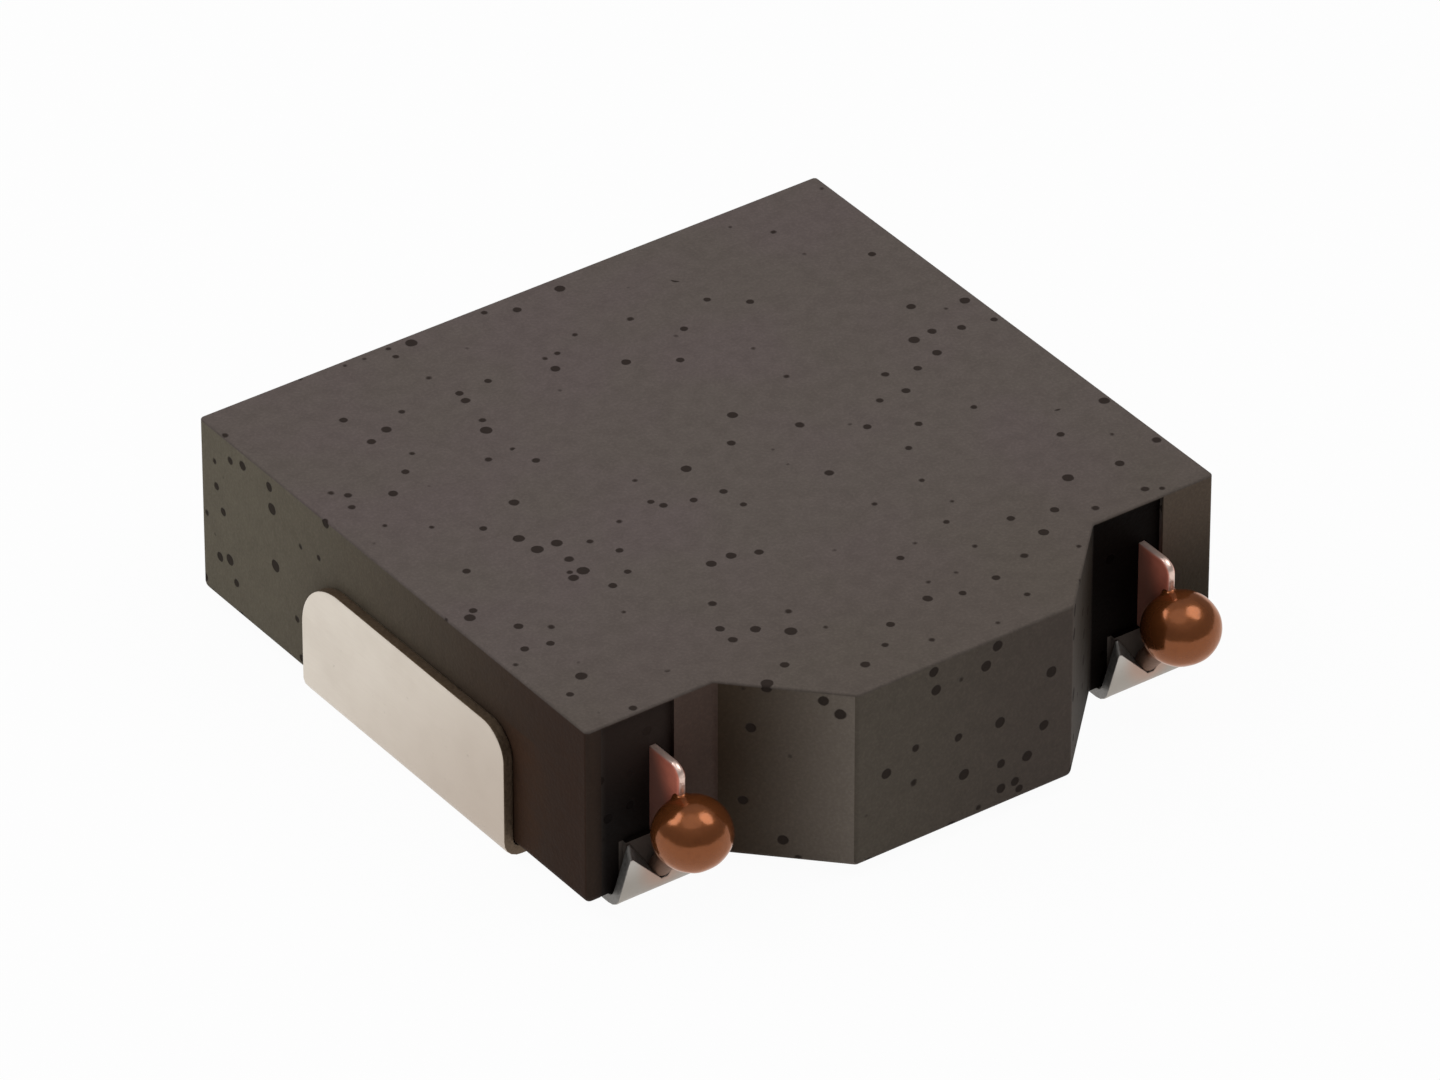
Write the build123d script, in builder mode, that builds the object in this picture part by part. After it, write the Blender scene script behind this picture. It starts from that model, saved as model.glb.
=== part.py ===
from build123d import *
import os

# Shielded SMD power inductor: a pressed powder body round a buried copper winding,
# with two folded sheet terminals and two weld beads in the front corner notches.
# Millimetres, +Z up. The origin is under the middle of the body, on the solder plane.
# The notched front looks along -Y.

# Body
body_width = 6.6
body_depth = 6.7
body_height = 1.8
notch_depth = 0.88
notch_width = 1.3
nose_width = 2.26
notch_inner_round = 0.05
corner_round = 0.04
top_edge_round = 0.02

# Window in each notch wall, where a lead comes out of the powder
window_left_of_lead = 0.57
window_right_of_lead = 0.18
window_depth = 0.05
window_lintel = 0.03
window_slope = 0.03
sill_above_tab = 0.02

# Winding: flat wire, a spiral on each of two layers
wire_width = 0.20
wire_height = 0.38
wire_gap = 0.03
layer_turns = 2
lead_inset = 0.72
lead_taper_start = 1.0
lead_taper_end = 0.25

# Lead end, rolled out into a thin blade that stands in the notch
blade_thickness = 0.08
blade_height = 0.94
blade_foot_rise = 0.52
blade_reach = 0.38
blade_round = 0.14

# Terminal: tinned copper sheet
sheet = 0.10
bend_radius = 0.08
plate_width = 3.04
plate_height = 1.30
plate_back_round = 0.55
plate_front_round = 0.30
plate_shift = 0.12
foot_length = 1.6
fold_clearance = 0.01

# Forked tab at the front of each terminal
tab_width = 0.92
tab_height = 0.58
tab_shoulder = 0.16
tab_taper = 0.14
tab_tip_flat = 0.03
fork_floor = 0.18
fork_floor_width = 0.06
horn_drop = 0.09

# Weld bead: a melted ball with a short root that wets the fork
bead_size = 0.72
bead_rise = 0.87
root_top_radius = 0.17
root_foot_radius = 0.165
root_foot_rise = 0.37
root_bite = 0.06

# Places worked out from the sizes above
body_bottom = sheet
body_top = body_bottom + body_height
body_middle = body_bottom + body_height / 2
front_y = -body_depth / 2
notch_y = front_y + notch_depth
side_x = body_width / 2
lead_x = side_x - lead_inset
blade_front_y = notch_y - blade_reach
tab_back_y = notch_y - fold_clearance
tab_front_y = tab_back_y - sheet
sill_z = tab_height + sill_above_tab
bend_relief = bend_radius + fold_clearance
plate_back_x = side_x + fold_clearance
plate_front_x = plate_back_x + sheet
foot_front_y = plate_shift - plate_width / 2
turn_pitch = wire_width + wire_gap
layer_pitch = wire_height + wire_gap
lower_layer_z = body_middle - layer_pitch / 2
upper_layer_z = body_middle + layer_pitch / 2
blade_middle_z = blade_foot_rise + blade_height / 2
taper_start_y = notch_y + window_depth + lead_taper_start
taper_end_y = notch_y + window_depth + lead_taper_end


# The wire's route: in along the right lead, inwards on the lower layer, across to the
# upper layer on a tilted half turn, outwards again and out along the left lead.
# Each half turn is a half circle that crosses the X axis squarely, so all of them meet
# tangent to tangent.
def half_turn(start, end, side):
    middle = (start + end) / 2
    bulge = (start - end).length / 2
    ThreePointArc(start, middle + Vector(0, side * bulge, 0), end)


half_turns = 2 * layer_turns
lower_crossings = [
    Vector((-1) ** n * (lead_x - n * turn_pitch / 2), 0, lower_layer_z) for n in range(half_turns + 1)
]
upper_crossings = [Vector(-p.X, p.Y, upper_layer_z) for p in reversed(lower_crossings)]

with BuildPart() as coil:
    with BuildLine() as route:
        Line((lead_x, taper_start_y, lower_layer_z), lower_crossings[0])
        for n in range(half_turns):
            half_turn(lower_crossings[n], lower_crossings[n + 1], (-1) ** n)
        half_turn(lower_crossings[-1], upper_crossings[0], 1)
        for n in range(half_turns):
            half_turn(upper_crossings[n], upper_crossings[n + 1], (-1) ** (n + 1))
        Line(upper_crossings[-1], (-lead_x, taper_start_y, upper_layer_z))
    with BuildSketch(Plane(origin=route.line @ 0, x_dir=(1, 0, 0), z_dir=route.line % 0)):
        Rectangle(wire_width, wire_height)
    # A copy of the route straight above it keeps the wire's height upright all the way.
    upright = route.wire().moved(Location((0, 0, wire_height)))
    sweep(path=route.wire(), binormal=upright)

    for side, layer_z in ((1, lower_layer_z), (-1, upper_layer_z)):
        # The lead is rolled out into a thin upright blade inside the powder.
        with BuildSketch(Plane.XZ.offset(-taper_start_y)):
            with Locations((side * lead_x, layer_z)):
                Rectangle(wire_width, wire_height)
        with BuildSketch(Plane.XZ.offset(-taper_end_y)):
            with Locations((side * lead_x, blade_middle_z)):
                Rectangle(blade_thickness, blade_height)
        loft()
        with BuildSketch(Plane.YZ.offset(side * lead_x)) as outline:
            with Locations(((taper_end_y + blade_front_y) / 2, blade_middle_z)):
                Rectangle(taper_end_y - blade_front_y, blade_height)
            fillet(outline.vertices().group_by(Axis.X)[0].sort_by(Axis.Y)[-1], blade_round)
        extrude(amount=blade_thickness / 2, both=True)

coil.part.label = "coil"


# Terminals: a side plate, a foot under the body and a tongue that is folded up into the
# notch, all one sheet, with a forked tab that the lead stands in.
def fold(points, plane):
    with BuildSketch(plane) as strip:
        with BuildLine():
            FilletPolyline(*points, radius=bend_radius + sheet / 2)
        trace(line_width=sheet)
    return strip.sketch


def fork_outline(y, middle_x, horn_x, horn_z):
    with BuildSketch(Plane.XZ.offset(-y)) as outline:
        with BuildLine():
            Polyline(
                (middle_x - tab_width, horn_z),
                (middle_x - horn_x, horn_z),
                (middle_x - fork_floor_width / 2, fork_floor),
                (middle_x + fork_floor_width / 2, fork_floor),
                (middle_x + horn_x, horn_z),
                (middle_x + tab_width, horn_z),
                (middle_x + tab_width, tab_height + sheet),
                (middle_x - tab_width, tab_height + sheet),
                close=True,
            )
        make_face()
    return outline.sketch


def make_terminal(side, label):
    sheet_middle_x = plate_back_x + sheet / 2
    tab_middle_y = tab_back_y - sheet / 2
    tab_x = side * lead_x
    tip_x = tab_width / 2 - tab_taper
    side_strip = fold(
        [
            (side * sheet_middle_x, plate_height),
            (side * sheet_middle_x, sheet / 2),
            (side * (plate_front_x - foot_length), sheet / 2),
        ],
        Plane.XZ.offset(-plate_shift),
    )
    tab_strip = fold(
        [(foot_front_y + sheet, sheet / 2), (tab_middle_y, sheet / 2), (tab_middle_y, tab_height)],
        Plane.YZ.offset(tab_x),
    )
    with BuildPart() as terminal:
        extrude(side_strip, amount=plate_width / 2, both=True)
        plate_corners = terminal.edges().filter_by(Axis.X).group_by(Axis.Z)[-1].sort_by(Axis.Y)
        fillet(plate_corners[0], plate_front_round)
        fillet(plate_corners[-1], plate_back_round)

        extrude(tab_strip, amount=tab_width / 2, both=True)
        with BuildSketch(Plane.XZ.offset(-tab_back_y)):
            with BuildLine():
                Polyline(
                    (tab_x - tab_width / 2 - sheet, tab_shoulder),
                    (tab_x - tab_width / 2, tab_shoulder),
                    (tab_x - tip_x, tab_height),
                    (tab_x + tip_x, tab_height),
                    (tab_x + tab_width / 2, tab_shoulder),
                    (tab_x + tab_width / 2 + sheet, tab_shoulder),
                    (tab_x + tab_width / 2 + sheet, tab_height + sheet),
                    (tab_x - tab_width / 2 - sheet, tab_height + sheet),
                    close=True,
                )
            make_face()
        extrude(amount=sheet, mode=Mode.SUBTRACT)
        # The fork's outline is lower at the front of the sheet than at its back, so its
        # horns slope and its throat opens out forwards.
        front_spread = tab_taper * horn_drop / (tab_height - tab_shoulder)
        fork_at_back = fork_outline(tab_back_y, tab_x, tip_x - tab_tip_flat, tab_height)
        fork_at_front = fork_outline(
            tab_front_y, tab_x, tip_x - tab_tip_flat + front_spread, tab_height - horn_drop
        )
        loft([fork_at_back, fork_at_front], ruled=True, mode=Mode.SUBTRACT)
    terminal.part.label = label
    return terminal


terminal_left = make_terminal(-1, "terminal_left")
terminal_right = make_terminal(1, "terminal_right")


# Weld beads: the lead's front edge and the fork, melted together into a ball.
def make_bead(side, terminal, label):
    bead_x = side * lead_x
    bead_y = front_y + bead_size / 2
    run = Vector(0, tab_front_y + root_bite - bead_y, root_foot_rise - bead_rise)
    with BuildPart() as welded:
        with Locations((bead_x, bead_y, bead_rise)):
            Sphere(bead_size / 2)
        with BuildSketch(Plane(origin=(bead_x, bead_y, bead_rise), z_dir=run)):
            Circle(root_top_radius)
        with BuildSketch(Plane.XZ.offset(-tab_front_y - root_bite)):
            with Locations((bead_x, root_foot_rise)):
                Circle(root_foot_radius)
        loft()
        add(terminal.part, mode=Mode.SUBTRACT)
        add(coil.part, mode=Mode.SUBTRACT)
    welded.part.label = label
    return welded


weld_bead_left = make_bead(-1, terminal_left, "weld_bead_left")
weld_bead_right = make_bead(1, terminal_right, "weld_bead_right")

# Body: one pressing with a nose at the front, a notch at each side of it and the winding
# buried inside.
with BuildPart() as body:
    with BuildSketch(Plane.XY.offset(body_bottom)) as plan:
        with BuildLine():
            Polyline(
                (-side_x, -front_y),
                (-side_x, notch_y),
                (-side_x + notch_width, notch_y),
                (-nose_width / 2, front_y),
                (nose_width / 2, front_y),
                (side_x - notch_width, notch_y),
                (side_x, notch_y),
                (side_x, -front_y),
                close=True,
            )
        make_face()
        inner_x = side_x - notch_width
        at_notch_wall = plan.vertices().filter_by_position(
            Axis.Y, notch_y - fold_clearance, notch_y + fold_clearance
        )
        inner_corners = at_notch_wall.filter_by_position(
            Axis.X, -inner_x - fold_clearance, inner_x + fold_clearance
        )
        fillet(inner_corners, notch_inner_round)
        outer_corners = plan.vertices().filter_by_position(
            Axis.X, -nose_width / 2, nose_width / 2
        ) + plan.vertices().group_by(Axis.X)[0] + plan.vertices().group_by(Axis.X)[-1]
        fillet(outer_corners, corner_round)
    extrude(amount=body_height)
    fillet(body.faces().sort_by(Axis.Z)[-1].edges(), top_edge_round)
    # The foot's edges are rounded where the terminals are folded round them.
    foot_edges = body.faces().sort_by(Axis.Z)[0].edges().filter_by(GeomType.LINE)
    wall_edges = foot_edges.filter_by_position(
        Axis.Y, notch_y - fold_clearance, notch_y + fold_clearance
    )
    fillet(foot_edges.filter_by(Axis.Y) + wall_edges, bend_relief)

    for side in (-1, 1):
        window_start = side * lead_x - window_left_of_lead
        window_end = side * lead_x + window_right_of_lead
        window_top = body_top - window_lintel
        # The ceiling falls away inwards, so that the lintel is thin only at its edge.
        with BuildSketch(Plane.YZ.offset(window_start)):
            with BuildLine():
                Polyline(
                    (notch_y - sheet, sill_z),
                    (notch_y + window_depth, sill_z),
                    (notch_y + window_depth, window_top - window_slope),
                    (notch_y, window_top),
                    (notch_y - sheet, window_top),
                    close=True,
                )
            make_face()
        extrude(amount=window_end - window_start, mode=Mode.SUBTRACT)
        # Beside the tab the window is open down to the foot of the body.
        tab_tip = side * lead_x - tab_width / 2 + tab_taper
        with BuildSketch(Plane.XZ.offset(-notch_y - window_depth)):
            with Locations(((window_start + tab_tip) / 2, sill_z / 2)):
                Rectangle(tab_tip - window_start, sill_z)
        extrude(amount=window_depth + sheet, mode=Mode.SUBTRACT)
    add(coil.part, mode=Mode.SUBTRACT)

body.part.label = "body"

os.makedirs("parts", exist_ok=True)
export_step(body.part, "parts/body.step")
export_step(coil.part, "parts/coil.step")
export_step(terminal_left.part, "parts/terminal_left.step")
export_step(terminal_right.part, "parts/terminal_right.step")
export_step(weld_bead_left.part, "parts/weld_bead_left.step")
export_step(weld_bead_right.part, "parts/weld_bead_right.step")
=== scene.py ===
import math

import bmesh
import bpy
import numpy as np
from mathutils import Matrix, Vector, geometry, noise


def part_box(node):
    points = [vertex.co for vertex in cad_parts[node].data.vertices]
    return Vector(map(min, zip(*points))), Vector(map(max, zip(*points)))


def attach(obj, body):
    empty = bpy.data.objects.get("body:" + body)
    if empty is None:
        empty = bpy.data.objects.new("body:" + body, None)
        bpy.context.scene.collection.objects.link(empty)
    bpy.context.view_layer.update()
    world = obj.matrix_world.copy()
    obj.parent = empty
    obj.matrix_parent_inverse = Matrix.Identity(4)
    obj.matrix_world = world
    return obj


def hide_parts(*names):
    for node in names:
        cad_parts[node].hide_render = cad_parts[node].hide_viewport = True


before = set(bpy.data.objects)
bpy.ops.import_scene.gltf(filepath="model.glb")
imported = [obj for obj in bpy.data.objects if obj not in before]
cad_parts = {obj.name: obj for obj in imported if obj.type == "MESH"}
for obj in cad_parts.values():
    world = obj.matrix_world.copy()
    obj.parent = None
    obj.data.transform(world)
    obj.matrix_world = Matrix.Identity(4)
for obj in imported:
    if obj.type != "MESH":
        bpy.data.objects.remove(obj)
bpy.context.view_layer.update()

# Winding. Flat copper wire is wound into a spiral on two layers and buried in the powder.
# Both leads are rolled out into thin upright blades, bare copper, that stand in the notches.
mm = 0.001
body_low, body_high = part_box("body")
coil_low, coil_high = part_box("coil")
wire_width = 0.20 * mm
wire_height = 0.38 * mm
wire_gap = 0.03 * mm
wire_round = 0.05 * mm
layer_turns = 2
half_turn_steps = 28
corner_steps = 4
blade_thickness = 0.08 * mm
blade_round = 0.14 * mm
blade_rim = 0.035 * mm
blade_steps = 10
rim_thinning = 0.9
rim_least = 0.1 * blade_thickness
edge_fullness = 0.85
nose_steps = 10
taper_start_y = -1.42 * mm
taper_end_y = -2.17 * mm
taper_steps = 14
lead_x = coil_high.x - wire_width / 2


def add_mesh(name, mesh, finishes):
    """A smooth shaded object of that mesh, with its materials."""
    mesh.name = name
    mesh.materials.clear()
    for finish in finishes:
        mesh.materials.append(finish)
    mesh.polygons.foreach_set("use_smooth", [True] * len(mesh.polygons))
    piece = bpy.data.objects.new(name, mesh)
    bpy.context.scene.collection.objects.link(piece)
    return piece


def add_piece(name, points, faces, finishes, face_finish=None):
    """An object from points in metres, with its faces turned outwards."""
    mesh = bpy.data.meshes.new(name)
    mesh.from_pydata([tuple(p) for p in points], [], faces)
    mesh.validate()
    shell = bmesh.new()
    shell.from_mesh(mesh)
    bmesh.ops.recalc_face_normals(shell, faces=shell.faces)
    shell.to_mesh(mesh)
    shell.free()
    piece = add_mesh(name, mesh, finishes)
    if face_finish is not None:
        mesh.polygons.foreach_set("material_index", face_finish)
    return piece


def between(first, last, share):
    """The value that lies that share of the way from first to last."""
    return first + (last - first) * share


def quarter_turn(steps):
    """Angles from 0 to 90 degrees."""
    return [step / steps * math.pi / 2 for step in range(steps + 1)]


def band_faces(rings, count, start=0):
    """Quads that join each ring of so many points to the next, from the start point on."""
    faces = []
    for ring in range(rings - 1):
        for k in range(count):
            a = start + ring * count + k
            b = start + ring * count + (k + 1) % count
            faces.append((a, a + count, b + count, b))
    return faces


def rounded_ring(width, height, radius):
    """Across and up offsets of a rectangle's outline with round corners, anticlockwise."""
    ring = []
    for quarter, (sign_x, sign_z) in enumerate(((1, 1), (-1, 1), (-1, -1), (1, -1))):
        for step in range(corner_steps + 1):
            turn = (quarter + step / corner_steps) * math.pi / 2
            ring.append((
                sign_x * (width / 2 - radius) + radius * math.cos(turn),
                sign_z * (height / 2 - radius) + radius * math.sin(turn),
            ))
    return ring


def ease(value):
    """A smooth rise from 0 to 1."""
    return value * value * (3 - 2 * value)


def lead_rows(side, layer_z):
    """Middle, width, height and corner radius of a lead, from its blade's front edge back to
    where it has the wire's own section."""
    blade_z = (coil_low.z + coil_high.z) / 2
    blade_height = coil_high.z - coil_low.z
    front_y = coil_low.y
    stations = [
        (front_y + blade_rim * (1 - math.cos(turn)), blade_rim * (1 - math.sin(turn)))
        for turn in quarter_turn(nose_steps)
    ]
    for step in range(1, blade_steps + 1):
        y = front_y + between(blade_rim, blade_round, step / blade_steps)
        stations.append((y, 0))
    rows = []
    for y, shrink in stations:
        behind = max(front_y + blade_round - y, 0)
        drop = blade_round - math.sqrt(max(blade_round ** 2 - behind ** 2, 0))
        rows.append((
            Vector((side * lead_x, y, blade_z - drop / 2)),
            blade_thickness - 2 * shrink * rim_thinning,
            blade_height - drop - 2 * shrink,
            max(blade_thickness / 2 - shrink, rim_least) * edge_fullness,
        ))
    for step in range(taper_steps + 1):
        y = between(taper_end_y, taper_start_y, step / taper_steps)
        share = ease(step / taper_steps)
        rows.append((
            Vector((side * lead_x, y, between(blade_z, layer_z, share))),
            between(blade_thickness, wire_width, share),
            between(blade_height, wire_height, share),
            between(edge_fullness * blade_thickness / 2, wire_round, share),
        ))
    return rows


# The wire's route: in along the right lead, inwards below, outwards above and out at the left.
turn_pitch = wire_width + wire_gap
layer_pitch = wire_height + wire_gap
body_middle_z = (body_low.z + body_high.z) / 2
lower_z = body_middle_z - layer_pitch / 2
upper_z = body_middle_z + layer_pitch / 2
crossings = []
for n in range(2 * layer_turns + 1):
    crossings.append(Vector(((-1) ** n * (lead_x - n * turn_pitch / 2), 0, lower_z)))
crossings += [Vector((-p.x, 0, upper_z)) for p in reversed(crossings)]
wire_rows = lead_rows(1, lower_z)
for start, end in zip(crossings, crossings[1:]):
    bulge = (1 if start.x > end.x else -1) * (start - end).length / 2
    for step in range(half_turn_steps):
        turn = math.pi * step / half_turn_steps
        middle = (start + end) / 2 + (start - end) / 2 * math.cos(turn)
        middle = middle + Vector((0, bulge * math.sin(turn), 0))
        wire_rows.append((middle, wire_width, wire_height, wire_round))
wire_rows.append((crossings[-1], wire_width, wire_height, wire_round))
wire_rows += reversed(lead_rows(-1, upper_z))

ring_size = 4 * (corner_steps + 1)
wire_points = []
for n, (middle, width, height, radius) in enumerate(wire_rows):
    ahead = wire_rows[min(n + 1, len(wire_rows) - 1)][0] - wire_rows[max(n - 1, 0)][0]
    across = Vector((ahead.y, -ahead.x, 0)).normalized()
    for offset, rise in rounded_ring(width, height, radius):
        wire_points.append(middle + across * offset + Vector((0, 0, rise)))
wire_faces = band_faces(len(wire_rows), ring_size)
wire_faces.append(tuple(range(ring_size)))
wire_faces.append(tuple(reversed(range(len(wire_points) - ring_size, len(wire_points)))))


class Wire:
    """One output of a shader node. Arithmetic on it adds Math nodes."""

    def __init__(self, nodes, socket):
        self.nodes = nodes
        self.socket = socket

    def math(self, operation, *values):
        return self.nodes.node("Math", {"operation": operation}, dict(enumerate(values)))

    def __add__(self, other):
        return self.math("ADD", self, other)

    def __sub__(self, other):
        return self.math("SUBTRACT", self, other)

    def __rsub__(self, other):
        return self.math("SUBTRACT", other, self)

    def __mul__(self, other):
        return self.math("MULTIPLY", self, other)

    def __gt__(self, other):
        return self.math("GREATER_THAN", self, other)

    def __lt__(self, other):
        return self.math("LESS_THAN", self, other)

    def __neg__(self):
        return self.math("SUBTRACT", 0, self)

    def __abs__(self):
        return self.math("ABSOLUTE", self)

    def root(self):
        return self.math("SQRT", self)

    def at_least(self, other):
        return self.math("MAXIMUM", self, other)

    __radd__ = __add__
    __rmul__ = __mul__


class Nodes:
    """A node tree that is built one node at a time."""

    def __init__(self, tree):
        self.tree = tree

    def node(self, kind, settings, values, output=0):
        """Adds a node of that kind, its settings first, then its sockets' values or links."""
        made = self.tree.nodes.new("ShaderNode" + kind)
        for key, value in settings.items():
            setattr(made, key, value)
        for key, value in values.items():
            socket = self.socket(made.inputs, key)
            if isinstance(value, Wire):
                self.tree.links.new(value.socket, socket)
            elif socket.type == "RGBA":
                socket.default_value = (*value, 1)
            else:
                socket.default_value = value
        return Wire(self, self.socket(made.outputs, output))

    def socket(self, sockets, key):
        """A socket by its number, or by its name among those that the settings show."""
        if isinstance(key, int):
            return sockets[key]
        return next(s for s in sockets if key in (s.identifier, s.name) and s.enabled)

    def step(self, value, low, high, bottom=0.0, top=1.0):
        """Bottom where the value is below low, top above high, and a smooth rise between."""
        return self.node(
            "MapRange", {"interpolation_type": "SMOOTHSTEP"},
            {"Value": value, "From Min": low, "From Max": high, "To Min": bottom, "To Max": top},
            "Result",
        )


class Finish(Nodes):
    """A material on one Principled shader, with its procedural nodes. Sizes are in mm."""

    def __init__(self, name, **constants):
        self.material = bpy.data.materials.new(name)
        self.material.use_nodes = True
        super().__init__(self.material.node_tree)
        self.shader = self.tree.nodes["Principled BSDF"]
        for socket, value in constants.items():
            self.shader.inputs[socket.replace("_", " ")].default_value = value
        place = self.node("TexCoord", {}, {}, "Object")
        self.place = self.node("VectorMath", {"operation": "SCALE"}, {0: place, "Scale": 1 / mm})
        self.x, self.y, self.z = (
            self.node("SeparateXYZ", {}, {0: self.place}, axis) for axis in "XYZ"
        )

    def noise(self, size, detail=3, place=None):
        """Fractal noise from 0 to 1 with spots of about that size."""
        return self.node("TexNoise", {}, {
            "Vector": place or self.place, "Scale": 1 / size, "Detail": detail,
        })

    def cells(self, size, output="Distance"):
        """Voronoi cells of about that size. The distance is in cells."""
        return self.node("TexVoronoi", {}, {"Vector": self.place, "Scale": 1 / size}, output)

    def stretched(self, along):
        """The place scaled along X, Y and Z, for grain that runs one way."""
        return self.node("VectorMath", {"operation": "MULTIPLY"}, {0: self.place, 1: along})

    def blend(self, share, first, second, kind="MIX"):
        """Two colours mixed by a share from 0 to 1."""
        return self.node(
            "Mix", {"data_type": "RGBA", "blend_type": kind},
            {"Factor_Float": share, "A_Color": first, "B_Color": second}, "Result_Color",
        )

    def bump(self, height, distance):
        self.feed("Normal", self.node(
            "Bump", {}, {"Height": height, "Distance": distance, "Strength": 1.0}, "Normal"
        ))

    def feed(self, socket, wire):
        self.tree.links.new(wire.socket, self.shader.inputs[socket])


copper = Finish("rolled_copper", Specular_IOR_Level=0.3)
lead_mm = lead_x / mm
streaks = copper.noise(0.03, place=copper.stretched((1, 0.12, 1)))
patches = copper.noise(0.18, detail=4)
rim = 1 - copper.step(abs(abs(copper.x) - lead_mm), 0.024, 0.037)
bare = copper.step(-copper.y, 2.2, 2.32)

# The rolled faces get painted shade towards the wall, more so low down, and the left blade is
# painted darker than the right.
rolled_face = copper.blend(streaks, (0.69, 0.200, 0.132), (0.85, 0.275, 0.175))
patched = 0.5 * copper.step(patches, 0.42, 0.66)
rolled_face = copper.blend(patched, rolled_face, (0.60, 0.165, 0.115))
near_wall = 1 - copper.step(0.45 * (copper.z - 1.1) - copper.y, 2.54, 2.82)
painted_wall_shade = copper.blend(copper.x < 0, (0.33, 0.145, 0.105), (0.20, 0.100, 0.078))
rolled_face = copper.blend(0.88 * near_wall, rolled_face, painted_wall_shade)
rolled_edge = copper.blend(patches, (0.86, 0.60, 0.50), (0.92, 0.72, 0.63))
bare_copper = copper.blend(rim, rolled_face, rolled_edge)
copper.feed("Base Color", copper.blend(bare, (0.16, 0.045, 0.016), bare_copper))
copper.feed("Metallic", 0.30 + 0.48 * rim)
copper.feed("Roughness", 0.40 - 0.16 * rim + 0.10 * streaks + 0.06 * patches)
copper.bump(streaks + 0.6 * patches, 0.003 * mm)

winding = add_piece("winding", wire_points, wire_faces, [copper.material])
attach(winding, "root")
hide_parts("coil")

# Body. Iron alloy powder and resin are pressed in a die round the winding, then baked. The
# pressing is dull dark grey brown, peppered with coarse grains and dark pores.
# A place on its surface is given in mm.
top_z = body_high.z / mm
side_x = body_high.x / mm
notch_y = -2.47
notch_inner_x = 2.0
nose_y = -3.33
window_left = 0.57
window_right = 0.18
window_depth = 0.05
sill_z = 0.60
bare_left = 0.36
bare_right = 0.5
plate_front_y = -1.50
plate_top_z = 1.35
speck_cell = 0.25
speck_edge = 0.05

powder = Finish("pressed_powder", Specular_IOR_Level=0.12)
broad = powder.noise(1.3, detail=2)
mottle = powder.noise(0.16, detail=4)
grain = powder.noise(0.028, detail=2)
grains = powder.cells(0.05)
beside = abs(powder.x)
left_half = powder.x < 0
below_top = 1 - powder.step(powder.z, top_z - 0.03, top_z - 0.012)

# The top is a little warmer towards the front.
top_patches = powder.step(broad, 0.35, 0.65)
toned = powder.blend(top_patches, (0.110, 0.090, 0.079), (0.113, 0.089, 0.083))
toned = powder.blend(0.6 * powder.step(-powder.y, 0.5, 3.2), toned, (0.095, 0.078, 0.062))

# The die's side walls are browner, with painted light towards the back and painted shade towards
# the front, and more painted shade round the plate's front end.
flank = powder.step(beside, side_x - 0.03, side_x - 0.005) * below_top
flank_light_and_shade = powder.step(powder.y + 0.8 * (broad - 0.5), -2.5, 3.2)
flank_painted_tone = powder.blend(flank_light_and_shade, (0.031, 0.0125, 0.0055), (0.153, 0.133, 0.096))
# Painted shade round the plate's front end, below the plate's top.
off_plate_end = abs(powder.y - plate_front_y) + 0.3 * (mottle - 0.5)
plate_end_shade = (1 - powder.step(off_plate_end, 0.0, 0.45)) * (powder.z < plate_top_z)
flank_painted_tone = powder.blend(0.45 * plate_end_shade, flank_painted_tone, (0.060, 0.021, 0.006))
toned = powder.blend(0.94 * flank, toned, flank_painted_tone)

# Painted shade darkens the nose towards the right and the oblique walls towards the notches, and
# their far ends are painted lighter, the left wall more than the right.
across_nose = powder.step(powder.x, -1.2, 1.2)
nose_painted_shade = powder.blend(across_nose, (0.109, 0.090, 0.070), (0.086, 0.067, 0.055))
toned = powder.blend((powder.y < nose_y) * below_top, toned, nose_painted_shade)
corner_x = beside - notch_inner_x
corner_y = powder.y - notch_y
oblique = (abs(corner_x - corner_y) < 0.05) * (corner_y < -0.03)
oblique = oblique * (powder.y > nose_y) * below_top
from_corner = (corner_x * corner_x + corner_y * corner_y).root()
from_corner = powder.step(from_corner + 0.2 * (mottle - 0.5), 0.0, 1.60)
far_end_painted_light = powder.blend(left_half, (0.085, 0.069, 0.056), (0.230, 0.194, 0.160))
corner_painted_shade = powder.blend(left_half, (0.020, 0.014, 0.009), (0.050, 0.033, 0.020))
toned = powder.blend(oblique, toned, powder.blend(from_corner, corner_painted_shade, far_end_painted_light))

# The notch's wall gets painted shade: on the right darker low down and near black in its inner
# corner, on the left even, with its outer post darker.
notch_wall = (corner_y > -0.03) * (corner_y < 0.02) * (corner_x > -0.04) * below_top
up_wall = powder.step(powder.z + 0.2 * (mottle - 0.5), 0.70, 1.80)
notch_painted_shade = powder.blend(up_wall, (0.040, 0.029, 0.018), (0.115, 0.085, 0.062))
notch_painted_shade = powder.blend(left_half, notch_painted_shade, (0.092, 0.060, 0.047))
right_corner = (corner_x < 0.04) * (1 - left_half)
notch_painted_shade = powder.blend(right_corner, notch_painted_shade, (0.012, 0.008, 0.006))
notch_painted_shade = powder.blend(powder.x < -3.08, notch_painted_shade, (0.042, 0.026, 0.018))
toned = powder.blend(notch_wall, toned, notch_painted_shade)

# Fine mottling and grain all over.
worn = powder.blend(1.0, toned, (0.78, 0.77, 0.76), "MULTIPLY")
toned = powder.blend(0.5 * powder.step(mottle, 0.3, 0.75), toned, worn)
lit = powder.blend(1.0, toned, (1.5, 1.5, 1.5), "MULTIPLY")
toned = powder.blend(0.35 * powder.step(grain, 0.35, 0.8), toned, lit)

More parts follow.
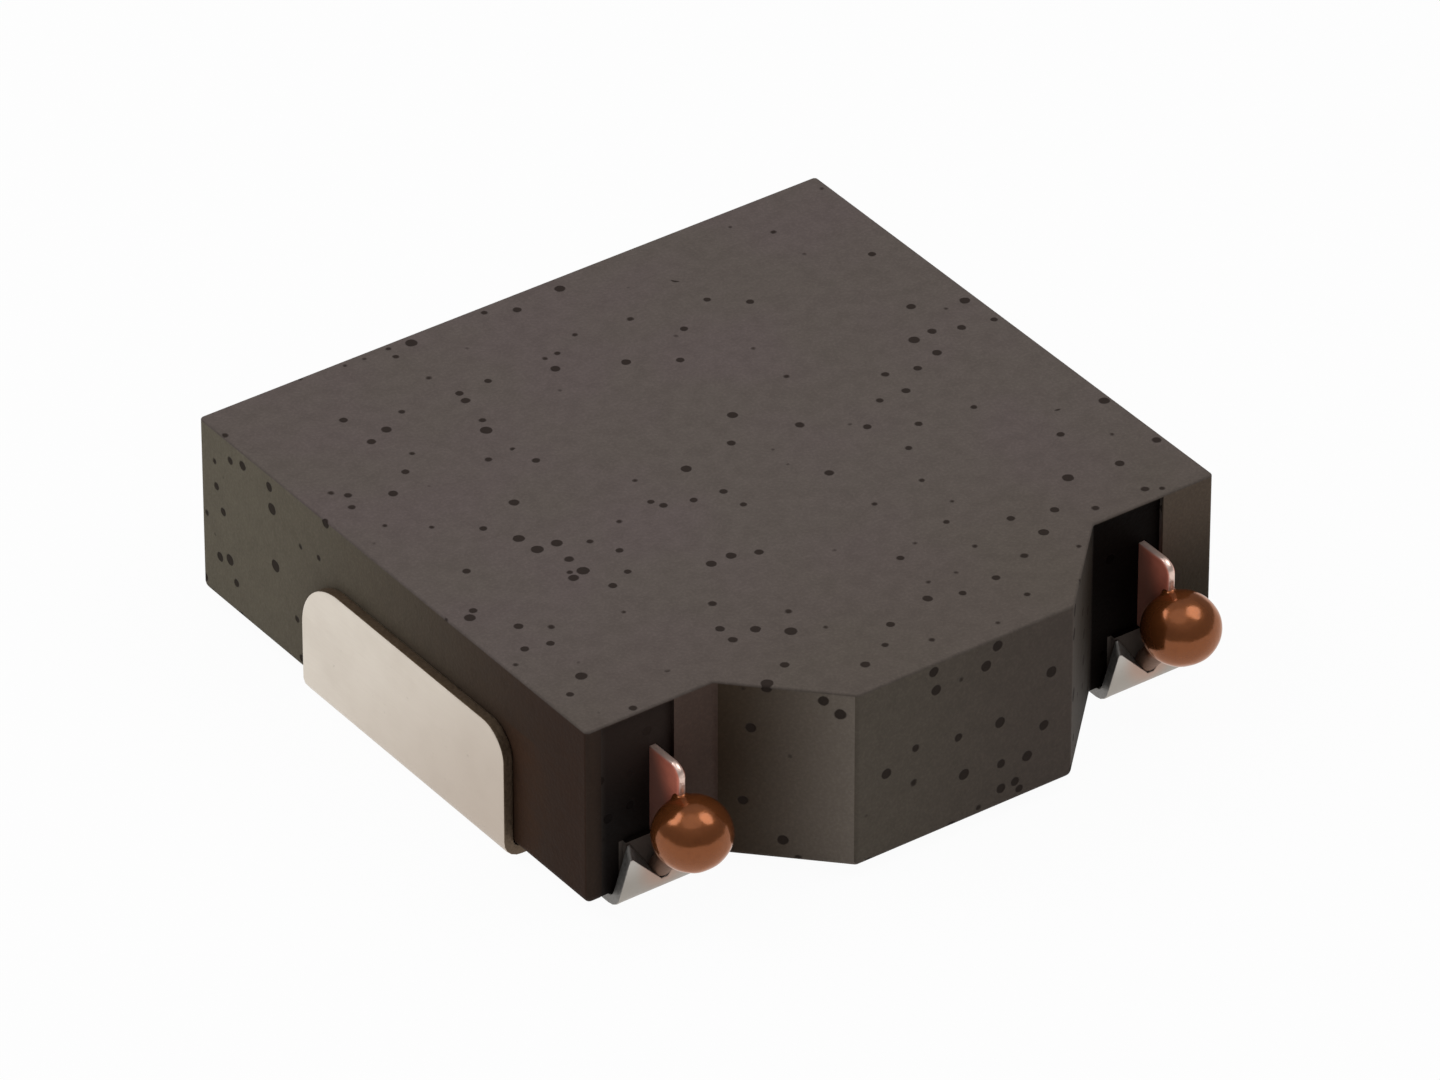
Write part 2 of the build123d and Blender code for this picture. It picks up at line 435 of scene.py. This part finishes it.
# Dark pores, in loose clusters, a little larger on the walls.
speck_colour = powder.cells(speck_cell, "Color")
speck_draw = powder.node("SeparateColor", {}, {0: speck_colour}, "Red")
speck_size = powder.node("SeparateColor", {}, {0: speck_colour}, "Green")
speck_reach = 0.165 + 0.09 * speck_size * speck_size + 0.04 * below_top
wobble = 0.05 * (powder.noise(0.06, detail=2) - 0.5)
speck = powder.step(speck_reach - powder.cells(speck_cell) + wobble, 0.0, speck_edge)
cluster = powder.step(powder.noise(1.6, detail=1), 0.36, 0.62)
speck = speck * powder.step(speck_draw + 0.55 * cluster, 0.66, 0.67)
speck = speck * (1 - notch_wall) * (1 - 0.9 * flank * (powder.y < 0.9))
toned = powder.blend(0.90 * speck, toned, (0.020, 0.013, 0.010))

# Inside the shallow windows the wall is painted near black, a painted shade for a deep hollow.
# The left window is painted lighter going up and with a softer edge, as it stands in more light.
# Behind the tabs the wall is left bare.
in_window = powder.step(powder.y, notch_y - 0.03, notch_y - 0.01)
in_window = in_window * (powder.y < notch_y + window_depth + 0.02) * below_top
up_window = powder.step(powder.z, 0.8, 1.8)
left_window_shade = powder.blend(up_window, (0.004, 0.002, 0.0015), (0.027, 0.0165, 0.0125))
right_window_shade = (0.003, 0.0016, 0.0011)
for side, black, softness in ((-1, left_window_shade, 0.10), (1, right_window_shade, 0.03)):
    across = powder.x - side * lead_mm
    inside = powder.step(across, -window_left - softness, -window_left + softness)
    inside = inside * (across < window_right)
    behind_tab = (powder.z < sill_z) * (across > -bare_left) * (across < bare_right)
    inside = in_window * inside * (1 - behind_tab)
    if side > 0:
        right_window = inside
    toned = powder.blend(0.97 * inside, toned, black)
    toned = powder.blend(0.85 * in_window * behind_tab, toned, (0.098, 0.080, 0.068))
powder.feed("Base Color", toned)
# The right window is also made metallic, so that its painted shade stays near black.
powder.feed("Metallic", 0.95 * right_window)
powder.feed("Roughness", 0.76 - 0.14 * mottle + 0.10 * grain + 0.10 * speck)
powder.bump(0.55 * grain + 0.35 * mottle - 0.45 * grains - 1.4 * speck, 0.005 * mm)

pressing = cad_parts["body"]
pressing.data.materials.clear()
pressing.data.materials.append(powder.material)

# Terminals. Each is one piece of tinned copper sheet, blanked and then folded: a side plate
# bent up the flank, a foot under the body, and a forked tab bent up into the notch.
sheet = 0.10 * mm
bend_middle = 0.13 * mm
plate_back_round = 0.55 * mm
plate_front_round = 0.30 * mm
plate_shift = 0.12 * mm
plate_width = 3.04 * mm
foot_length = 1.6 * mm
tab_width = 0.92 * mm
tab_shoulder_z = 0.16 * mm
tab_top_z = 0.58 * mm
tab_taper = 0.14 * mm
tab_tip_flat = 0.03 * mm
fork_floor_z = 0.18 * mm
fork_floor_width = 0.06 * mm
horn_drop = 0.09 * mm
edge_round = 0.010 * mm
edge_band = 0.006 * mm
edge_steps = 4
round_steps = 5
tinned_bands = 4
plate_round_steps = 14
mesh_step = 0.045 * mm
mesh_clearance = 0.6 * mesh_step
sharpest_mitre = 0.35
inside_only = 1
merge_mm = 1e-5


def unrolled(distance_up):
    """How far past the bend's start in the flat sheet a point at that height lies."""
    return bend_middle * math.pi / 2 + distance_up - sheet / 2 - bend_middle


def rolled(flat, start):
    """Along, up and tilt of a point that lies flat past the start of a bend."""
    turn = min(max(flat - start, 0) / bend_middle, math.pi / 2)
    beyond = max(flat - start - bend_middle * math.pi / 2, 0)
    along = min(flat, start) + bend_middle * math.sin(turn)
    up = sheet / 2 + bend_middle * (1 - math.cos(turn)) + beyond
    return along, up, turn


def tab_outline(tab_start, drop):
    """Corners of the tab in the flat, from its left root to its right root. The horns are
    lower by drop at the front of the sheet than at its back."""
    half = tab_width / 2
    outer_x = half - tab_taper * (1 - drop / (tab_top_z - tab_shoulder_z))
    inner_x = outer_x - tab_tip_flat
    shoulder = tab_start + unrolled(tab_shoulder_z)
    horn = tab_start + unrolled(tab_top_z - drop)
    floor = tab_start + unrolled(fork_floor_z)
    right = [
        (fork_floor_width / 2, floor), (inner_x, horn), (outer_x, horn), (half, shoulder),
        (half, tab_start),
    ]
    return [(-x, y) for x, y in reversed(right)] + right


def blank_outline(side_end, foot_end, back, front, tab_start, drop):
    """Corners of the flat blank, clockwise, from the foot's back inner corner."""
    tab = [(lead_x + x, y) for x, y in tab_outline(tab_start, drop)]
    corners = [(foot_end, back), (foot_end, front)]
    corners += [(tab[0][0], front)] + tab[1:-1] + [(tab[-1][0], front)]
    for turn in quarter_turn(plate_round_steps):
        corners.append((
            side_end - plate_front_round * (1 - math.sin(turn)),
            front - plate_front_round * (1 - math.cos(turn)),
        ))
    for turn in quarter_turn(plate_round_steps):
        corners.append((
            side_end - plate_back_round * (1 - math.cos(turn)),
            back + plate_back_round * (1 - math.sin(turn)),
        ))
    return corners


def cut_even(corners, counts=None):
    """Points along the closed outline at about one mesh step, and how many on each run."""
    runs = list(zip(corners, corners[1:] + corners[:1]))
    if counts is None:
        counts = [max(1, round(math.dist(a, b) / mesh_step)) for a, b in runs]
    points = []
    for (a, b), count in zip(runs, counts):
        for step in range(count):
            share = step / count
            points.append((between(a[0], b[0], share), between(a[1], b[1], share)))
    return points, counts


def drawn_in(outline, distance):
    """The closed outline moved inwards. It runs clockwise, so inwards is to its right."""
    moved = []
    for n, here in enumerate(outline):
        before = Vector(outline[n - 1])
        after = Vector(outline[(n + 1) % len(outline)])
        here = Vector(here)
        first = (here - before).normalized()
        second = (after - here).normalized()
        mitre = Vector((first.y, -first.x)) + Vector((second.y, -second.x))
        reach = distance / max(mitre.length_squared / 2, sharpest_mitre)
        moved.append(tuple(here + mitre * reach))
    return moved


def edge_stations():
    """Steps from the sheet's outer face over its cut edge to its inner face: the share of the
    way from the front outline to the back one, the inset, and the offset from the middle."""
    half = sheet / 2
    rounded = [
        (edge_round * (1 - math.sin(turn)), half - edge_round * (1 - math.cos(turn)))
        for turn in quarter_turn(round_steps)
    ]
    stations = [(0, edge_round + edge_band, half)]
    stations += [(0, inset, offset) for inset, offset in rounded]
    for step in range(1, edge_steps):
        share = step / edge_steps
        stations.append((share, 0, between(half - edge_round, edge_round - half, share)))
    stations += [(1, inset, -offset) for inset, offset in reversed(rounded)]
    stations.append((1, edge_round + edge_band, -half))
    return stations


def inner_points(loop):
    """A grid of points inside the loop, clear of its edge."""
    loop = np.array(loop)
    low, high = loop.min(0), loop.max(0)
    columns = np.arange(low[0] + mesh_step, high[0], mesh_step)
    rows = np.arange(low[1] + mesh_step, high[1], mesh_step)
    grid = np.array([(c, r) for r in rows for c in columns])
    inside = np.zeros(len(grid), bool)
    nearest = np.full(len(grid), np.inf)
    for (ax, ay), (bx, by) in zip(loop, np.roll(loop, -1, axis=0)):
        if ay != by:
            crosses = (ay > grid[:, 1]) != (by > grid[:, 1])
            at = ax + (grid[:, 1] - ay) * (bx - ax) / (by - ay)
            inside ^= crosses & (grid[:, 0] < at)
        nearest = np.minimum(nearest, np.hypot(grid[:, 0] - ax, grid[:, 1] - ay))
    return [tuple(p) for p in grid[inside & (nearest > mesh_clearance)]]


def make_terminal(side, name, finishes):
    """The folded sheet of that side, fitted to the box of its solid."""
    box_low, box_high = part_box(name)
    plate_outer = max(abs(box_low.x), abs(box_high.x))
    side_start = plate_outer - sheet / 2 - bend_middle
    side_end = side_start + unrolled(box_high.z)
    foot_end = plate_outer - foot_length
    back = -box_high.y
    front = plate_width / 2 - plate_shift
    tab_start = -box_low.y - sheet / 2 - bend_middle

    def folded(flat, offset):
        """A point of the flat blank, folded, and moved through the sheet towards its outside."""
        out, ahead = flat
        if ahead > tab_start:
            ahead, up, turn = rolled(ahead, tab_start)
            ahead += offset * math.sin(turn)
        else:
            out, up, turn = rolled(out, side_start)
            out += offset * math.sin(turn)
        return Vector((side * out, -ahead, up - offset * math.cos(turn)))

    ends = (side_end, foot_end, back, front, tab_start)
    front_loop, counts = cut_even(blank_outline(*ends, horn_drop))
    back_loop, counts = cut_even(blank_outline(*ends, 0), counts)
    count = len(front_loop)

    points = []
    rings = []
    for share, inset, offset in edge_stations():
        loop = [
            (between(f[0], b[0], share), between(f[1], b[1], share))
            for f, b in zip(front_loop, back_loop)
        ]
        loop = drawn_in(loop, inset)
        rings.append((loop, offset))
        points += [folded(p, offset) for p in loop]
    faces = band_faces(len(rings), count)
    face_finish = []
    for band in range(len(rings) - 1):
        on_cut = tinned_bands <= band < len(rings) - 1 - tinned_bands
        face_finish += [int(on_cut)] * count

    # The two faces of the sheet are filled with even triangles, so that they fold smoothly.
    for layer in (0, len(rings) - 1):
        loop, offset = rings[layer]
        flat = [Vector(p) / mm for p in loop + inner_points(loop)]
        filled = geometry.delaunay_2d_cdt(flat, [], [list(range(count))], inside_only, merge_mm)
        index = {}
        for n, (p, sources) in enumerate(zip(filled[0], filled[3])):
            on_loop = [k for k in sources if k < count]
            if on_loop:
                index[n] = layer * count + on_loop[0]
            else:
                index[n] = len(points)
                points.append(folded(tuple(p * mm), offset))
        faces += [tuple(index[k] for k in face) for face in filled[2]]
    face_finish += [0] * (len(faces) - len(face_finish))
    return add_piece(name + "_sheet", points, faces, finishes, face_finish)


tin = Finish("tinned_sheet", Metallic=0.9, Specular_IOR_Level=0.5)
tab_front_y = -2.4
drawn = tin.noise(0.02, place=tin.stretched((1, 0.10, 1)))
dull = tin.noise(0.5)
pits = tin.step(tin.noise(0.045, detail=2), 0.68, 0.80)
on_tab = tin.y < tab_front_y
tinned = tin.blend(drawn, (0.745, 0.670, 0.580), (0.815, 0.750, 0.660))
tinned = tin.blend(0.25 * tin.step(dull, 0.40, 0.72), tinned, (0.65, 0.57, 0.49))
tinned = tin.blend(0.25 * pits, tinned, (0.45, 0.39, 0.33))
# Painted shade darkens the sheet towards the front and low down.
sheet_painted_shade = tin.step(1.2 * (0.65 - tin.z) - tin.y, -1.7, 1.9)
tinned = tin.blend(0.95 * sheet_painted_shade, tinned, (0.575, 0.487, 0.408))
# On the tab, painted shade darkens it low down, in the notch under the bead.
tab_painted_shade = tin.blend(tin.step(tin.z, 0.22, 0.56), (0.40, 0.370, 0.332), (0.60, 0.572, 0.532))
tinned = tin.blend(0.9 * on_tab, tinned, tab_painted_shade)

# Copper from the weld tints the fork, together with a painted reflection of the bead.
weld_x = abs(tin.x) - lead_mm
weld_up = tin.z - 0.34
off_weld = (weld_x * weld_x + weld_up * weld_up).root() + 0.10 * (dull - 0.5)
weld_tint_and_reflection = (1 - tin.step(off_weld, 0.14, 0.34)) * on_tab
tin.feed("Base Color", tin.blend(0.6 * weld_tint_and_reflection, tinned, (0.50, 0.30, 0.22)))
tin.feed("Roughness", 0.40 + 0.12 * dull + 0.08 * drawn)
tin.bump(0.4 * drawn + dull - 0.8 * pits, 0.003 * mm)

# The cut edges show bare sheared copper, smeared with tin on the tab.
cut_edge = Finish("cut_edge", Metallic=0.8, Specular_IOR_Level=0.5)
smeared_y = -1.9
burr = cut_edge.noise(0.03, detail=4)
sheared = cut_edge.blend(burr, (0.085, 0.055, 0.034), (0.21, 0.150, 0.098))
smeared = cut_edge.blend(burr, (0.16, 0.150, 0.138), (0.36, 0.345, 0.325))
cut_edge.feed("Base Color", cut_edge.blend(cut_edge.y < smeared_y, sheared, smeared))
cut_edge.feed("Roughness", 0.45 + 0.20 * burr)
cut_edge.bump(burr, 0.005 * mm)

for side, name in ((-1, "terminal_left"), (1, "terminal_right")):
    terminal = make_terminal(side, name, [tin.material, cut_edge.material])
    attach(terminal, "root")
    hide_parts(name)

# Weld beads. The front edge of each blade and the fork of its tab are melted together by an
# arc. The copper draws up into a ball, with a root that wets the fork below it.
# Places are Y and Z, all in mm.
ball_middle = (-2.985, 0.87)
ball_radii = (0.362, 0.354, 0.331)
root_foot = (-2.52, 0.275)
root_radii = (0.130, 0.105)
root_steps = 12
rise_foot = (-2.81, 1.12)
rise_top = (-2.81, 1.18)
rise_radii = (0.080, 0.045)
rise_steps = 4
blob_rounds = 24
blob_slices = 36
bead_voxel = 0.014
bead_smoothing = 10
weld_seed = 7
swell_pitch = 3.1
pucker_pitch = 9
pucker_share = 0.4
swell_depth = 0.006
swell_middle = 0.6


def blob(points, faces, middle, radii):
    """Adds an ellipsoid."""
    start = len(points)
    for ring in range(blob_rounds + 1):
        polar = math.pi * ring / blob_rounds
        for k in range(blob_slices):
            turn = 2 * math.pi * k / blob_slices
            points.append((
                middle[0] + radii[0] * math.sin(polar) * math.cos(turn),
                middle[1] + radii[1] * math.sin(polar) * math.sin(turn),
                middle[2] + radii[2] * math.cos(polar),
            ))
    faces += band_faces(blob_rounds + 1, blob_slices, start)


def strand(points, faces, x, ends, radii, steps):
    """Adds a row of balls from one end to the other."""
    for step in range(steps + 1):
        share = step / steps
        y, z = (between(first, last, share) for first, last in zip(*ends))
        radius = between(*radii, share)
        blob(points, faces, (x, y, z), (radius, radius, radius))


def make_bead(side, name, finish):
    """The ball, its root and its rise up the blade, run together and softened."""
    x = side * lead_mm
    points, faces = [], []
    blob(points, faces, (x, *ball_middle), ball_radii)
    strand(points, faces, x, (ball_middle, root_foot), root_radii, root_steps)
    strand(points, faces, x, (rise_foot, rise_top), rise_radii, rise_steps)
    rough = bpy.data.meshes.new(name + "_rough")
    rough.from_pydata(points, [], faces)
    shaped = bpy.data.objects.new(name + "_rough", rough)
    bpy.context.scene.collection.objects.link(shaped)
    remesh = shaped.modifiers.new("remesh", "REMESH")
    remesh.mode = "VOXEL"
    remesh.voxel_size = bead_voxel
    soften = shaped.modifiers.new("soften", "SMOOTH")
    soften.factor = 0.5
    soften.iterations = bead_smoothing
    evaluated = shaped.evaluated_get(bpy.context.evaluated_depsgraph_get())
    melted = bpy.data.meshes.new_from_object(evaluated)
    bpy.data.objects.remove(shaped)
    bpy.data.meshes.remove(rough)
    for vertex in melted.vertices:
        broad_place = vertex.co * swell_pitch + Vector((weld_seed, side * 5, 0))
        fine_place = vertex.co * pucker_pitch + Vector((side * 3, weld_seed, 1))
        swell = noise.noise(broad_place) + pucker_share * noise.noise(fine_place)
        vertex.co += vertex.normal * swell_depth * (swell - swell_middle)
    melted.transform(Matrix.Scale(mm, 4))
    return add_mesh(name + "_copper", melted, [finish])


weld = Finish("weld_copper", Coat_Roughness=0.10, Specular_Tint=(0.95, 0.60, 0.42, 1.0))
cloud = weld.noise(0.30, detail=4)
skin = weld.noise(0.07)
melt = weld.blend(cloud, (0.226, 0.065, 0.017), (0.256, 0.079, 0.024))
melt = weld.blend(0.25 * weld.step(skin, 0.45, 0.75), melt, (0.165, 0.044, 0.011))
# The root has taken up tin from the fork, so it is greyer and duller than the ball.
alloyed = 1 - weld.step(weld.z + 0.06 * (skin - 0.5), 0.40, 0.56)
melt = weld.blend(0.8 * alloyed, melt, (0.165, 0.118, 0.092))
weld.feed("Base Color", melt)
weld.feed("Metallic", 0.65 - 0.32 * alloyed)
weld.feed("Coat Weight", 0.28 - 0.28 * alloyed)
weld.feed("Roughness", 0.16 + 0.05 * skin + 0.04 * cloud + 0.30 * alloyed)
weld.bump(0.5 * skin + cloud, 0.002 * mm)

for side, name in ((-1, "weld_bead_left"), (1, "weld_bead_right")):
    bead = make_bead(side, name, weld.material)
    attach(bead, "root")
    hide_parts(name)

# Floor. A plain matt white sheet just under the feet. It shows white to the camera and in
# reflections, and keeps the soft shadow.
floor_half = 0.5
floor_z = -0.005 * mm
paper_glow = 0.96

paper = Finish("white_paper", Roughness=0.95, Specular_IOR_Level=0.1)
paper.feed("Base Color", paper.blend(paper.noise(8.0), (0.69, 0.69, 0.69), (0.72, 0.72, 0.72)))
glow = paper.node("Emission", {}, {"Color": (1.0, 1.0, 1.0), "Strength": 1.0})
camera_ray = paper.node("LightPath", {}, {}, "Is Camera Ray")
glossy_ray = paper.node("LightPath", {}, {}, "Is Glossy Ray")
transmission_ray = paper.node("LightPath", {}, {}, "Is Transmission Ray")
seen = camera_ray.at_least(glossy_ray).at_least(transmission_ray)
matt = Wire(paper, paper.shader.outputs[0])
shown = paper.node("MixShader", {}, {0: paper_glow * seen, 1: matt, 2: glow})
paper.tree.links.new(shown.socket, paper.tree.nodes["Material Output"].inputs["Surface"])

corners = ((-1, -1), (1, -1), (1, 1), (-1, 1))
floor = add_piece(
    "floor", [(x * floor_half, y * floor_half, floor_z) for x, y in corners], [(0, 1, 2, 3)],
    [paper.material],
)

# Lamps. Two soft lamps, one from the left behind and one from the right in front, a weaker
# third overhead, and a pale room that is brighter above.
room_light_low = 0.25
room_light_high = 0.50
scene = bpy.context.scene
lit_middle = Vector((0, 0, 0.9 * mm))
# Each lamp's direction, its distance and width in metres and its power in watts.
lamps = (
    ("lamp_left_back", (-0.480, 0.440, 0.760), 0.055, 0.036, 0.0098),
    ("lamp_right_front", (0.480, -0.250, 0.842), 0.060, 0.036, 0.0092),
    ("lamp_overhead", (-0.150, -0.215, 0.965), 0.055, 0.044, 0.0023),
)
for name, direction, distance, width, power in lamps:
    light = bpy.data.lights.new(name, "AREA")
    light.shape = "DISK"
    light.size = width
    light.energy = power
    lamp = bpy.data.objects.new(name, light)
    lamp.location = lit_middle + Vector(direction).normalized() * distance
    lamp.rotation_euler = (-Vector(direction)).to_track_quat("-Z", "Y").to_euler()
    scene.collection.objects.link(lamp)

world = bpy.data.worlds.new("room")
world.use_nodes = True
scene.world = world
room = Nodes(world.node_tree)
direction = room.node("TexCoord", {}, {}, "Generated")
upward = room.node("SeparateXYZ", {}, {0: direction}, "Z")
brightness = room.step(upward, 0.45, 0.95, room_light_low, room_light_high)
room_light = room.tree.nodes["Background"]
room_light.inputs["Color"].default_value = (0.97, 0.98, 1.0, 1)
room.tree.links.new(brightness.socket, room_light.inputs["Strength"])

# Camera. A long lens from the left in front and above, as in the photograph. It stands off
# from the aim along its view, and a hair to the right and down to frame the part.
azimuth = math.radians(-35.67)
elevation = math.radians(34.48)
aim = Vector((0, 0.50, 0.892)) * mm
camera_distance = 106.6 * mm
camera_right = 0.1676 * mm
camera_down = 0.0125 * mm
lens = bpy.data.cameras.new("camera")
lens.lens = 307.1
lens.sensor_width = 36
lens.clip_start = 0.01
lens.clip_end = 2
view_back = Vector((
    math.sin(azimuth) * math.cos(elevation), -math.cos(azimuth) * math.cos(elevation),
    math.sin(elevation),
))
view_right = Vector((math.cos(azimuth), math.sin(azimuth), 0))
view_up = view_back.cross(view_right)
camera = bpy.data.objects.new("camera", lens)
camera.location = (
    aim + view_back * camera_distance + view_right * camera_right - view_up * camera_down
)
camera.rotation_euler = Matrix((view_right, view_up, view_back)).transposed().to_euler()
scene.collection.objects.link(camera)
scene.camera = camera
scene.view_settings.view_transform = "Standard"
